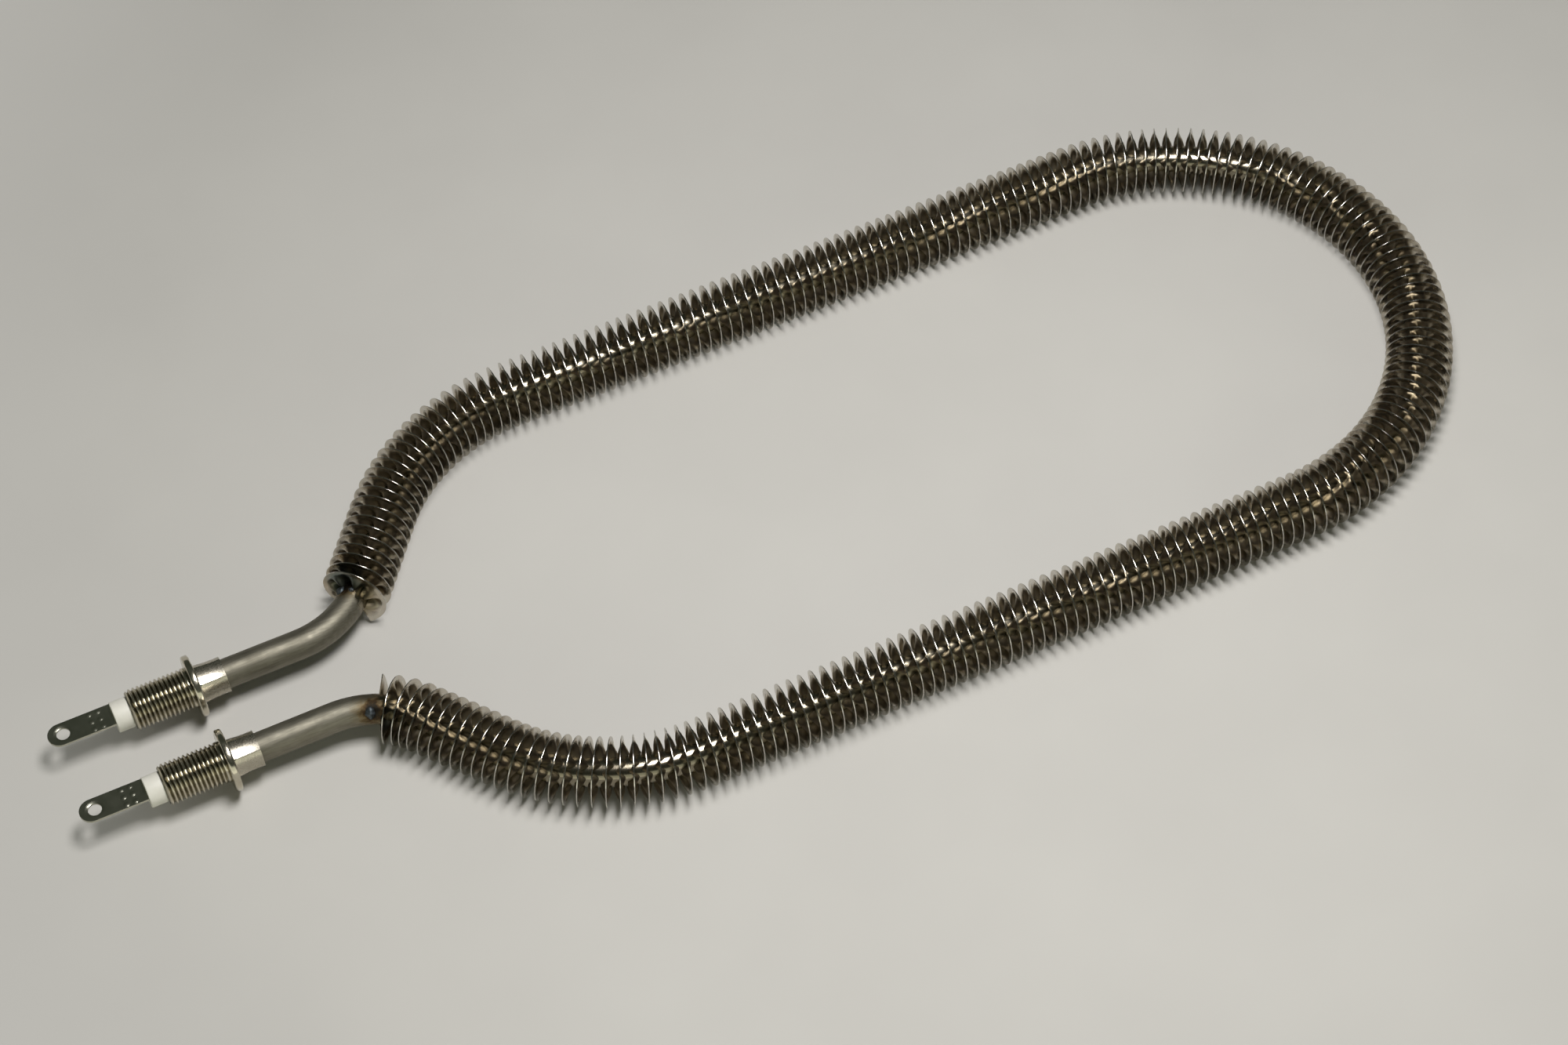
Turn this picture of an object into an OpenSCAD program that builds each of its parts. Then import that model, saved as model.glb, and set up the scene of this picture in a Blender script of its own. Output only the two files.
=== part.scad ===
// Finned tubular heating element, bent into a flat open loop.
// The origin is midway between the two fittings, in the plane of the flanges' mounting faces
// and at the height of the sheath's centre line. The loop runs out towards +X.
// Side a is the fitting at +Y and side b the one at -Y.

/* [Loop] */
// Distance between the centre lines of the two fittings
fitting_gap = 32; // [26:0.5:80]
// Straight sheath from each mounting face to its first bend
lead_len = 37.1; // [20:0.1:80]
// Centre-line radius of the bare bend next to each fitting
bare_bend_r = 32.5; // [25:0.5:60]
// Angle of the two bends at each side of the loop
bend_angle = 52.8; // [30:0.1:70]
// Straight length between those two bends
offset_len = 30.2; // [10:0.1:90]
// Centre-line radius of the finned bend that turns back into the leg
leg_bend_r = 72.7; // [40:0.1:110]
// Straight length of each leg
leg_len = 216.4; // [80:0.1:320]

/* [Sheath] */
// Outside diameter of the sheath tube
sheath_d = 10; // [8:0.1:10.8]
// Wall of the sheath tube
sheath_wall = 0.6; // [0.3:0.05:1.2]

/* [Fin] */
// Outside diameter over the fins
fin_d = 23.2; // [16:0.1:30]
// Advance of the strip in one turn
fin_pitch = 4; // [4:0.1:9]
// Thickness of the strip at its foot
fin_foot = 0.8; // [0.3:0.05:1.2]
// Axial depth of the pleats that gather the strip's foot
fin_pleat = 0.8; // [0:0.05:1]
// Path length from the start of bend a to the cut end of the strip
fin_from_a = 25.7; // [8:0.1:40]
// Path length from the start of bend b to the other cut end of the strip
fin_from_b = 16.3; // [8:0.1:40]
// Angle of the strip's cut end on side a, counted up from the outside of the loop
fin_phase = 242; // [0:1:360]

/* [Bushing] */
// Outside diameter of the threaded nose
thread_d = 14; // [13:0.1:18]
// Length of the nose from the mounting face
nose_len = 20.8; // [10:0.1:40]
// Chamfer at the tip of the nose
nose_chamfer = 0.8; // [0.2:0.1:1]
// Diameter of the flange
flange_d = 21; // [19:0.1:23]
// Thickness of the flange
flange_t = 2.4; // [1.6:0.1:5]
// Rounding of the flange's rim
flange_round = 0.7; // [0.2:0.05:0.75]
// Length of the crimped sleeve behind the flange
sleeve_len = 9.1; // [5:0.1:18]
// Diameter of the sleeve before it was crimped
sleeve_d = 13.6; // [13:0.1:16]
// Distance across the crimped flats next to the flange
crimp_start_w = 13; // [12.4:0.1:13]
// Distance across the crimped flats at the sleeve's open end
crimp_end_w = 11.9; // [11.6:0.1:12.4]

/* [Insulator] */
// Diameter of the ceramic collar
collar_d = 10.4; // [9:0.1:12]
// Length of the ceramic collar
collar_len = 5.8; // [3:0.1:15]
// Rounding of the collar's edges
collar_round = 0.4; // [0.1:0.05:0.8]
// Length of the ceramic spigot inside the sheath
spigot_len = 6; // [3:0.1:12]
// Length of the seal behind the spigot
seal_len = 5; // [2:0.1:12]

/* [Terminal] */
// Width of the blade
blade_w = 8.5; // [6.5:0.1:12]
// Thickness of the blade
blade_t = 0.9; // [0.5:0.05:1.5]
// Length of the blade outside the ceramic collar
blade_len = 22; // [18:0.1:40]
// Diameter of the hole in the blade
blade_hole_d = 4.5; // [3:0.1:4.8]
// Distance from the blade's tip to the centre of its hole
blade_hole_in = 5.1; // [4.5:0.1:6]
// Diameter of the countersink round the hole
blade_sink_d = 5.8; // [5:0.1:6]
// Depth of the countersink
blade_sink_t = 0.3; // [0.1:0.05:0.4]
// Distance from the blade's tip to the first row of weld dimples
dimple_in = 14.8; // [12:0.1:16]
// Spacing of the weld dimples both ways
dimple_gap = 3; // [1.6:0.1:3]
// Diameter of a weld dimple
dimple_d = 1.3; // [0.6:0.1:1.4]
// Height of a weld dimple
dimple_h = 0.2; // [0.1:0.05:0.4]

/* [Inside] */
// Diameter of the cold pins
pin_d = 3.5; // [2.5:0.1:4.5]
// Length of pin outside the ceramic collar, under the blade
pin_out_len = 10; // [5:0.1:16]
// Length of pin from the sheath's mouth to its inner end
pin_in_len = 102; // [30:1:130]
// Flat on top of the pin that the blade is welded to
pin_flat = 0.25; // [0.1:0.05:0.5]
// Outside diameter of the resistance coil
coil_d = 4.7; // [4.6:0.1:6.5]
// Length of coil pushed over the end of each pin
coil_lap = 8; // [3:0.5:15]

/* [Welds] */
// Diameter of the weld bead at each cut end of the strip
bead_d = 3; // [1.5:0.1:4]
// Angle of bead a, counted up from the outside of the loop
bead_a_angle = 10; // [0:1:60]
// Angle of bead b, counted up from the outside of the loop
bead_b_angle = 42; // [0:1:60]
// Distance of the centre of bead b from the cut end of the strip
bead_b_out = 3.3; // [2.2:0.1:5]

/* [Fits] */
// Radial clearance of the sheath in the bushing's bore
bushing_clear = 0.05; // [0.02:0.01:0.15]
// Radial clearance of the ceramic spigot in the sheath
spigot_clear = 0.1; // [0.05:0.01:0.3]
// Radial clearance of the pin in the ceramic
pin_clear = 0.1; // [0.05:0.01:0.3]
// Radial clearance between the strip's foot and the sheath
fin_clear = 0.06; // [0.06:0.01:0.2]
// Clearance between a weld bead and the sheath
weld_clear = 0.05; // [0.03:0.01:0.15]
// Radial clearance of the powder and the seals in the sheath and round the pins
fill_clear = 0.05; // [0.02:0.01:0.1]

/* [Hidden] */
$fn = 64;
// Steps in a full turn of a bend, and round the section that is carried along it
bend_fn = 360;
section_fn = 64;

// Overshoot of a cutting tool past the face that it cuts
cut = 1;
// Shortest stretch of path that is worth a solid of its own
min_stretch = 0.001;
// Bends are drawn fuller than straights by a hair, and straights reach into them, so that they join
bend_swell = 0.05;
bend_lap = 0.1;

sheath_r = sheath_d / 2;
bore_r = sheath_r - sheath_wall;
pin_r = pin_d / 2;
coil_r = coil_d / 2;
coil_bore_r = pin_r + fill_clear;
fill_r = bore_r - fill_clear;
fin_r = fin_d / 2;

// Stations along the path, which starts level with the tip of blade a
mouth_at = blade_len + collar_len;
face_at = mouth_at + nose_len;
bend_at = face_at + lead_len;
seal_at = mouth_at + spigot_len;
fill_at = seal_at + seal_len;
pin_end_at = mouth_at + pin_in_len;
coil_at = pin_end_at - coil_lap;

// The path is a list of stretches, each a length and the angle that it turns to the left
end_bend_r = fitting_gap / 2
    + (bare_bend_r + leg_bend_r) * (1 - cos(bend_angle))
    + offset_len * sin(bend_angle);
bare_bend = [arc_length(bare_bend_r, bend_angle), bend_angle];
leg_bend = [arc_length(leg_bend_r, bend_angle), -bend_angle];
end_bend = [arc_length(end_bend_r, 180), -180];
side_a = [[bend_at, 0], bare_bend, [offset_len, 0], leg_bend, [leg_len, 0]];
side_b = [for (i = [len(side_a) - 1:-1:0]) side_a[i]];
stretches = concat(side_a, [end_bend], side_b);
marks = [
    for (i = 0, at = 0; i <= len(stretches);
         at = at + (i < len(stretches) ? stretches[i][0] : 0), i = i + 1) at
];
path_len = marks[len(stretches)];
poses = [
    for (i = 0, p = [blade_tip_x(), fitting_gap / 2, 0]; i < len(stretches);
         p = advance(p, stretches[i], stretches[i][0]), i = i + 1) p
];

// The strip is left-handed, and its points are spaced evenly from one cut end to the other.
// A cell of the strip has two edges at its foot and three at its rim.
fin_at = bend_at + fin_from_a;
fin_len = path_len - bend_at - fin_from_b - fin_at;
fin_turns = fin_len / fin_pitch;
cells_per_turn = 3.5;
fin_cells = round(fin_turns * cells_per_turn);
foot_steps = 2 * fin_cells;
rim_steps = 3 * fin_cells;
foot_r = (sheath_r + fin_clear) / cos(180 * fin_turns / foot_steps);

function arc_length(r, angle) = r * angle * PI / 180;
function blade_tip_x() = -face_at;

// Pose at a distance along one stretch, from the pose at its start
function advance(p, stretch, dist) =
    let (turn = stretch[1] * dist / stretch[0],
         r = stretch[1] == 0 ? 0 : stretch[0] * 180 / (PI * stretch[1]))
    stretch[1] == 0
        ? [p[0] + dist * cos(p[2]), p[1] + dist * sin(p[2]), p[2]]
        : [p[0] + r * (sin(p[2] + turn) - sin(p[2])),
           p[1] - r * (cos(p[2] + turn) - cos(p[2])),
           p[2] + turn];

// Number of the stretch that holds a station
function stretch_of(at, i = 0) =
    i < len(stretches) - 1 && at > marks[i + 1] ? stretch_of(at, i + 1) : i;

// Pose at a station, as x, y and heading
function pose(at) =
    let (i = stretch_of(at))
    advance(poses[i], stretches[i], at - marks[i]);

// Point off the path, at a radius and an angle counted up from the left of travel
function off_path(at, r, angle) =
    let (p = pose(at), side = r * cos(angle))
    [p[0] - side * sin(p[2]), p[1] + side * cos(p[2]), r * sin(angle)];

// Station and angle of the strip at a share of its length
function fin_station(t) = fin_at + fin_len * t;
function fin_angle(t) = fin_phase - 360 * fin_turns * t;

// Every other point of the foot is shifted along the sheath, which pleats the strip
function pleat(k) = (k % 2 == 0 ? 1 : -1) * fin_pleat / 2;

function foot_point(k, edge) =
    let (t = k / foot_steps)
    off_path(fin_station(t) + pleat(k) + edge * fin_foot / 2, foot_r, fin_angle(t));

function rim_point(m) =
    let (t = m / rim_steps)
    off_path(fin_station(t), fin_r, fin_angle(t));

// Numbers of the strip's points: front foot edge, back foot edge and rim
function front(k) = 2 * k;
function back(k) = 2 * k + 1;
function rim(m) = 2 * (foot_steps + 1) + m;

// Faces of one cell, which starts at foot point k and rim point m
function flank(a, b, c, m) = [
    [a, rim(m + 1), rim(m)], [a, b, rim(m + 1)], [b, rim(m + 2), rim(m + 1)],
    [b, c, rim(m + 2)], [c, rim(m + 3), rim(m + 2)]
];
function flipped(faces) = [for (f = faces) [f[2], f[1], f[0]]];
function under(k) = [
    [front(k), back(k), back(k + 1)],
    [front(k), back(k + 1), front(k + 1)]
];
function cell_faces(j) =
    let (k = 2 * j, m = 3 * j)
    concat(
        flank(front(k), front(k + 1), front(k + 2), m),
        flipped(flank(back(k), back(k + 1), back(k + 2), m)),
        under(k),
        under(k + 1)
    );

// Children are drawn at a station, with X along the path, Y to its left and Z up
module at_station(at) {
    p = pose(at);
    translate([p[0], p[1], 0])
        rotate([0, 0, p[2]])
            children();
}

// A round rod follows the path from one station to another
module rod(from, to, r) {
    for (i = [0:len(stretches) - 1]) {
        start = max(from, marks[i]);
        end = min(to, marks[i + 1]);
        if (end - start > min_stretch) {
            if (stretches[i][1] == 0)
                straight_rod(
                    from < marks[i] ? start - bend_lap : start,
                    to > marks[i + 1] ? end + bend_lap : end,
                    i, r
                );
            else
                bent_rod(start, end, i, r + bend_swell);
        }
    }
}

module straight_rod(start, end, i, r) {
    p = advance(poses[i], stretches[i], start - marks[i]);
    translate([p[0], p[1], 0])
        rotate([0, 90, p[2]])
            cylinder(h = end - start, r = r);
}

module bent_rod(start, end, i, r) {
    total = stretches[i][1];
    turn = total * (end - start) / stretches[i][0];
    bend_r = stretches[i][0] * 180 / (PI * total);
    p = advance(poses[i], stretches[i], start - marks[i]);
    translate([p[0] - bend_r * sin(p[2]), p[1] + bend_r * cos(p[2]), 0])
        rotate([0, 0, total > 0 ? p[2] - 90 : p[2] + 90 + turn])
            rotate_extrude(angle = abs(turn), $fn = bend_fn)
                translate([abs(bend_r), 0])
                    circle(r, $fn = section_fn);
}

// A pipe is a rod less a thinner one, which runs past both of its ends
module pipe(from, to, outer_r, inner_r) {
    difference() {
        rod(from, to, outer_r);
        rod(from - cut, to + cut, inner_r);
    }
}

// Side b mirrors side a across the loop's centre plane
module side(name) {
    mirror([0, name == "b" ? 1 : 0, 0])
        children();
}

// Children are drawn on the axis of fitting a, with Z along +X and its zero at the mounting face
module on_fitting() {
    translate([0, fitting_gap / 2, 0])
        rotate([0, 90, 0])
            children();
}

module sheath_tube() {
    color("silver")
        pipe(mouth_at, path_len - mouth_at, sheath_r, bore_r);
}

module spiral_fin() {
    feet = [for (k = [0:foot_steps]) each [foot_point(k, -1), foot_point(k, 1)]];
    rims = [for (m = [0:rim_steps]) rim_point(m)];
    ends = [
        [front(0), rim(0), back(0)],
        [front(foot_steps), back(foot_steps), rim(rim_steps)]
    ];
    cells = [for (j = [0:fin_cells - 1]) each cell_faces(j)];
    color("gainsboro")
        polyhedron(points = concat(feet, rims), faces = concat(cells, ends));
}

// A dome of weld metal that sits on the sheath and stops short of the strip
module bead(at, angle, strip_side) {
    r = bead_d / 2;
    sink = r / 4;
    difference() {
        at_station(at)
            rotate([angle, 0, 0])
                translate([0, sheath_r + sink, 0])
                    rotate([-90, 0, 0])
                        sphere(r);
        rod(at - bead_d, at + bead_d, sheath_r + weld_clear);
        at_station(strip_side)
            translate([0, -fin_d, -fin_d])
                cube(2 * fin_d);
    }
}

module fin_weld_a() {
    wrap = (fin_phase - bead_a_angle) / 360;
    reach = asin(bead_d / sheath_d) / 360;
    strip_face = fin_at + (wrap - reach) * fin_pitch - fin_pleat / 2 - fin_foot / 2;
    color("dimgray")
        bead(strip_face - bead_d / 4, bead_a_angle, strip_face);
}

module fin_weld_b() {
    strip_end = fin_at + fin_len;
    color("dimgray")
        bead(strip_end + bead_b_out, bead_b_angle, path_len);
}

module bushing() {
    color("lightgray")
        on_fitting()
            difference() {
                union() {
                    nose();
                    flange();
                    crimped_sleeve();
                }
                translate([0, 0, -nose_len - cut])
                    cylinder(h = nose_len + flange_t + sleeve_len + 2 * cut, r = sheath_r + bushing_clear);
            }
}

module nose() {
    thread_r = thread_d / 2;
    translate([0, 0, -nose_len])
        cylinder(h = nose_chamfer, r1 = thread_r - nose_chamfer, r2 = thread_r);
    translate([0, 0, nose_chamfer - nose_len])
        cylinder(h = nose_len - nose_chamfer, r = thread_r);
}

module flange() {
    r = flange_d / 2;
    rotate_extrude() {
        square([r - flange_round, flange_t]);
        translate([0, flange_round])
            square([r, flange_t - 2 * flange_round]);
        for (y = [flange_round, flange_t - flange_round])
            translate([r - flange_round, y])
                circle(flange_round);
    }
}

// Six flats are pressed in round the sleeve, deeper towards its open end
module crimped_sleeve() {
    lean = atan((crimp_start_w - crimp_end_w) / 2 / sleeve_len);
    difference() {
        translate([0, 0, flange_t])
            cylinder(h = sleeve_len, d = sleeve_d);
        for (k = [0:5])
            rotate([0, 0, 60 * k])
                translate([crimp_start_w / 2, 0, flange_t])
                    rotate([0, -lean, 0])
                        translate([0, -sleeve_d / 2, 0])
                            cube([sleeve_d, sleeve_d, sleeve_len + cut]);
    }
}

module insulator() {
    color("white")
        on_fitting()
            difference() {
                union() {
                    collar();
                    translate([0, 0, -nose_len])
                        cylinder(h = spigot_len, r = bore_r - spigot_clear);
                }
                translate([0, 0, -nose_len - collar_len - cut])
                    cylinder(h = collar_len + spigot_len + 2 * cut, r = pin_r + pin_clear);
            }
}

module collar() {
    r = collar_d / 2;
    translate([0, 0, -nose_len - collar_len])
        rotate_extrude() {
            square([r - collar_round, collar_len]);
            translate([0, collar_round])
                square([r, collar_len - 2 * collar_round]);
            for (y = [collar_round, collar_len - collar_round])
                translate([r - collar_round, y])
                    circle(collar_round);
        }
}

module terminal_blade() {
    tip_r = blade_w / 2;
    hole_x = blade_tip_x() + blade_hole_in;
    color("slategray")
        translate([0, fitting_gap / 2, pin_r - pin_flat])
            difference() {
                union() {
                    translate([blade_tip_x() + tip_r, 0, 0])
                        cylinder(h = blade_t, r = tip_r);
                    translate([blade_tip_x() + tip_r, -tip_r, 0])
                        cube([blade_len - tip_r, blade_w, blade_t]);
                    dimples();
                }
                translate([hole_x, 0, -cut])
                    cylinder(h = blade_t + 2 * cut, d = blade_hole_d);
                translate([hole_x, 0, blade_t - blade_sink_t])
                    cylinder(h = blade_sink_t, d1 = blade_hole_d, d2 = blade_sink_d);
            }
}

// Two rows of three low dimples over the end of the pin
module dimples() {
    for (row = [0, 1])
        for (place = [-1, 0, 1])
            translate([
                blade_tip_x() + dimple_in + row * dimple_gap,
                place * dimple_gap,
                blade_t
            ])
                cylinder(h = dimple_h, d1 = dimple_d, d2 = dimple_d / 2);
}

module cold_pin() {
    color("darkgray")
        difference() {
            rod(blade_len - pin_out_len, pin_end_at, pin_r);
            translate([blade_tip_x(), (fitting_gap - blade_w) / 2, pin_r - pin_flat])
                cube([blade_len, blade_w, pin_r]);
        }
}

// The close-wound wire is one sleeve, from the lap on one pin to the lap on the other
module resistance_coil() {
    color("peru")
        pipe(coil_at, path_len - coil_at, coil_r, coil_bore_r);
}

// The powder fills the sheath round the pins and the coil, and the core inside the coil
module magnesia_fill() {
    color("ivory") {
        difference() {
            rod(fill_at, path_len - fill_at, fill_r);
            rod(coil_at, path_len - coil_at, coil_r + fill_clear);
            rod(fill_at - cut, coil_at + cut, pin_r + fill_clear);
            rod(path_len - coil_at - cut, path_len - fill_at + cut, pin_r + fill_clear);
        }
        rod(pin_end_at, path_len - pin_end_at, pin_r);
    }
}

module end_seal() {
    color("firebrick")
        pipe(seal_at, fill_at, fill_r, pin_r + fill_clear);
}

sheath_tube();
spiral_fin();
fin_weld_a();
fin_weld_b();
side("a") bushing();  // bushing_a
side("b") bushing();  // bushing_b
side("a") insulator();  // insulator_a
side("b") insulator();  // insulator_b
side("a") terminal_blade();  // terminal_blade_a
side("b") terminal_blade();  // terminal_blade_b
side("a") cold_pin();  // cold_pin_a
side("b") cold_pin();  // cold_pin_b
resistance_coil();
magnesia_fill();
side("a") end_seal();  // end_seal_a
side("b") end_seal();  // end_seal_b
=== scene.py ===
from math import cos, pi, radians, sin

import bpy
import numpy as np
from mathutils import Matrix, Vector


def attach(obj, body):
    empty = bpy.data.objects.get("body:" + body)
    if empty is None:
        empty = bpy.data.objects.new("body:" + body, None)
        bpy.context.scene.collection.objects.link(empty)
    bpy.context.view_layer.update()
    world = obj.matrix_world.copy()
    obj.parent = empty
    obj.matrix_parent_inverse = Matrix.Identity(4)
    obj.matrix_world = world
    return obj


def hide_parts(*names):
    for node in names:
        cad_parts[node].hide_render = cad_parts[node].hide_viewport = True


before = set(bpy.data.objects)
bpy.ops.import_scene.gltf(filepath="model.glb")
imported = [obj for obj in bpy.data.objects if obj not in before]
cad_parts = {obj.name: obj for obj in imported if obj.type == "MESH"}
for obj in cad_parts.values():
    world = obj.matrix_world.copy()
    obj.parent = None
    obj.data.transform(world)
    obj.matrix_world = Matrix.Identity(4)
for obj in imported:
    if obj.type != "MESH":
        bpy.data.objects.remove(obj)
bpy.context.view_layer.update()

MM = 0.001

# The loop, in millimetres, from the mounting face of side a round to that of side b
FITTING_GAP = 32
LEAD_LEN = 37.1
BARE_BEND_R = 32.5
LEG_BEND_R = 72.7
BEND = radians(52.8)
OFFSET_LEN = 30.2
LEG_LEN = 216.4

# The sheath and the wound strip
SHEATH_R = 5
SHEATH_WALL = 0.6
FIN_R = 11.42
FIN_FOOT_R = 5.03
FIN_PITCH = 4
FIN_FROM_A = 25.7
FIN_FROM_B = 16.3
FIN_PHASE = radians(242)
FIN_FOOT_T = 0.38
FIN_RIM_T = 0.32
FOLDS = 1584
LAST_FOLD = 1583
END_STRETCH = 1.5
DRIFT = 0.25
FOLD_DEPTH = 1.7
FOLD_TOP = 0.8

# The bushing, the collar and the blade
NOSE_LEN = 20.8
NOSE_R = 7
THREAD_PITCH = 1.5
THREAD_DEPTH = 0.92
NOSE_CHAMFER = 0.8
FLANGE_R = 10.5
FLANGE_T = 2.4
FLANGE_ROUND = 0.7
SLEEVE_LEN = 9.1
SLEEVE_R = 6.8
FLAT_AT_FLANGE = 6.5
FLAT_DEEPEST = 6.0
FLAT_BULGE = 0.4
FLAT_TURN = radians(-11)
BORE_R = 5.05
COLLAR_R = 5.2
COLLAR_LEN = 5.8
COLLAR_ROUND = 0.4
PIN_R = 1.75
BLADE_LEN = 21.99
BLADE_W = 8.5
BLADE_T = 0.9
BLADE_Z = 1.5
HOLE_IN = 5.1
HOLE_R = 2.25
SINK_R = 3.1
SINK_T = 0.3
DIMPLE_IN = 14.8
DIMPLE_GAP = 3
DIMPLE_R = 1.0
DIMPLE_H = 0.19

AXIS_Y = FITTING_GAP / 2
COLLAR_X = -NOSE_LEN - COLLAR_LEN
TIP_X = COLLAR_X - BLADE_LEN
FLOOR_Z = -(FIN_R + 0.03) * MM


# The loop's centre line

END_BEND_R = AXIS_Y + (BARE_BEND_R + LEG_BEND_R) * (1 - cos(BEND)) + OFFSET_LEN * sin(BEND)
SIDE = [
    (LEAD_LEN, 0),
    (BARE_BEND_R * BEND, BEND),
    (OFFSET_LEN, 0),
    (LEG_BEND_R * BEND, -BEND),
    (LEG_LEN, 0),
]
STRETCHES = SIDE + [(END_BEND_R * pi, -pi)] + SIDE[::-1]


def starts():
    """Station, x, y and heading where each stretch starts."""
    at, x, y, heading = 0.0, 0.0, AXIS_Y, 0.0
    rows = []
    for length, turn in STRETCHES:
        rows.append((at, x, y, heading))
        if turn:
            r = length / turn
            x += r * (sin(heading + turn) - sin(heading))
            y -= r * (cos(heading + turn) - cos(heading))
        else:
            x += length * cos(heading)
            y += length * sin(heading)
        at += length
        heading += turn
    rows.append((at, x, y, heading))
    return rows


STARTS = starts()
LOOP_LEN = STARTS[-1][0]
FIN_START = LEAD_LEN + FIN_FROM_A
FIN_TURNS = (LOOP_LEN - LEAD_LEN - FIN_FROM_B - FIN_START) / FIN_PITCH
LAST_TURN = FIN_TURNS * LAST_FOLD / FOLDS


def centre_line(at):
    """x, y and heading of the centre line at an array of stations."""
    marks = np.array([row[0] for row in STARTS])
    which = np.clip(np.searchsorted(marks, at) - 1, 0, len(STRETCHES) - 1)
    x0, y0, h0 = (np.array([row[k] for row in STARTS])[which] for k in (1, 2, 3))
    bend = np.array([turn / length for length, turn in STRETCHES])[which]
    run = at - marks[which]
    h = h0 + bend * run
    safe = np.where(bend == 0, 1, bend)
    x = x0 + np.where(bend == 0, run * np.cos(h0), (np.sin(h) - np.sin(h0)) / safe)
    y = y0 + np.where(bend == 0, run * np.sin(h0), (np.cos(h0) - np.cos(h)) / safe)
    return x, y, h


def off_line(at, r, angle, ahead=0):
    """Points at a radius and an angle round the centre line, counted up from its left."""
    x, y, h = centre_line(at)
    left = r * np.cos(angle)
    return np.stack(np.broadcast_arrays(
        x - left * np.sin(h) + ahead * np.cos(h),
        y + left * np.cos(h) + ahead * np.sin(h),
        r * np.sin(angle),
    ), axis=1)


# Modelling

def start_clean():
    if bpy.context.mode != "OBJECT":
        bpy.ops.object.mode_set(mode="OBJECT")
    bpy.ops.object.select_all(action="DESELECT")


def edit_all():
    bpy.ops.object.mode_set(mode="EDIT")
    bpy.ops.mesh.select_all(action="SELECT")


def place_in_mesh():
    bpy.ops.object.transform_apply(location=True, rotation=True, scale=True)


def sew():
    """Merges what meets and turns all faces outwards."""
    edit_all()
    bpy.ops.mesh.remove_doubles(threshold=0.002 * MM)
    bpy.ops.mesh.select_all(action="SELECT")
    bpy.ops.mesh.normals_make_consistent(inside=False)
    bpy.ops.object.mode_set(mode="OBJECT")


def close_ends():
    """Fills the open ends."""
    bpy.ops.object.mode_set(mode="EDIT")
    bpy.ops.mesh.select_mode(type="EDGE")
    bpy.ops.mesh.select_all(action="DESELECT")
    bpy.ops.mesh.select_non_manifold(extend=False, use_wire=False, use_multi_face=False,
                                     use_non_contiguous=False, use_verts=False)
    bpy.ops.mesh.fill()
    bpy.ops.object.mode_set(mode="OBJECT")


def points_of(obj):
    flat = np.empty(len(obj.data.vertices) * 3)
    obj.data.vertices.foreach_get("co", flat)
    return flat.reshape(-1, 3)


def set_points(obj, points):
    obj.data.vertices.foreach_set("co", np.ascontiguousarray(points).ravel())
    obj.data.update()


def laid_grid(along, across, place):
    """A grid whose squares are laid out by place, given shares along and across it."""
    start_clean()
    bpy.ops.mesh.primitive_grid_add(x_subdivisions=along, y_subdivisions=across, size=1)
    obj = bpy.context.object
    points = points_of(obj)
    share = (points[:, :2] - points[:, :2].min(axis=0)) / np.ptp(points[:, :2], axis=0)
    set_points(obj, place(share[:, 0], share[:, 1]) * MM)
    return obj


def turned(profile, around=72):
    """A closed profile of x and radius, turned about the axis of fitting a."""
    start_clean()
    x, r = profile[0]
    bpy.ops.mesh.primitive_circle_add(vertices=around, radius=r * MM,
                                      location=(x * MM, AXIS_Y * MM, 0), rotation=(0, pi / 2, 0))
    place_in_mesh()
    edit_all()
    for next_x, next_r in profile[1:] + profile[:1]:
        bpy.ops.mesh.extrude_region_move(
            TRANSFORM_OT_translate={"value": ((next_x - x) * MM, 0, 0)})
        bpy.ops.transform.resize(value=(1, next_r / r, next_r / r),
                                 center_override=(next_x * MM, AXIS_Y * MM, 0))
        x, r = next_x, next_r
    bpy.ops.object.mode_set(mode="OBJECT")
    sew()
    return bpy.context.object


def rounded(x, r, size, from_angle, to_angle, steps=5):
    """Points of a rounded edge round a centre, as a profile's x and radius."""
    turns = [from_angle + (to_angle - from_angle) * k / steps for k in range(steps + 1)]
    return [(x + size * cos(t), r + size * sin(t)) for t in turns]


def combine(obj, other, how):
    """Joins, or cuts, obj with another solid, which is then gone."""
    start_clean()
    bpy.context.view_layer.objects.active = obj
    obj.select_set(True)
    change = obj.modifiers.new("combine", "BOOLEAN")
    change.operation = how
    change.solver = "EXACT"
    change.object = other
    bpy.ops.object.modifier_apply(modifier=change.name)
    bpy.data.objects.remove(other)


def dress(obj, name, finish, slot, *nodes, sharp=35):
    start_clean()
    bpy.context.view_layer.objects.active = obj
    obj.select_set(True)
    obj.name = name
    obj.data.name = name
    obj.data.materials.clear()
    obj.data.materials.append(finish)
    place_in_mesh()
    bpy.ops.object.shade_smooth_by_angle(angle=radians(sharp))
    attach(obj, "root")
    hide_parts(*nodes)
    return obj


def copied_to_b(obj, name, *nodes):
    """The same piece on fitting b."""
    start_clean()
    bpy.context.view_layer.objects.active = obj
    obj.select_set(True)
    bpy.ops.object.duplicate(linked=False)
    twin = bpy.context.object
    edit_all()
    bpy.ops.transform.translate(value=(0, -FITTING_GAP * MM, 0))
    bpy.ops.object.mode_set(mode="OBJECT")
    twin.name = name
    twin.data.name = name
    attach(twin, "root")
    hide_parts(*nodes)
    return twin


# Finishes

BACKDROP = (0.50, 0.487, 0.452)


def new_finish(name):
    finish = bpy.data.materials.new(name)
    finish.use_nodes = True
    tree = finish.node_tree
    return finish, tree, tree.nodes["Principled BSDF"]


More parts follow.
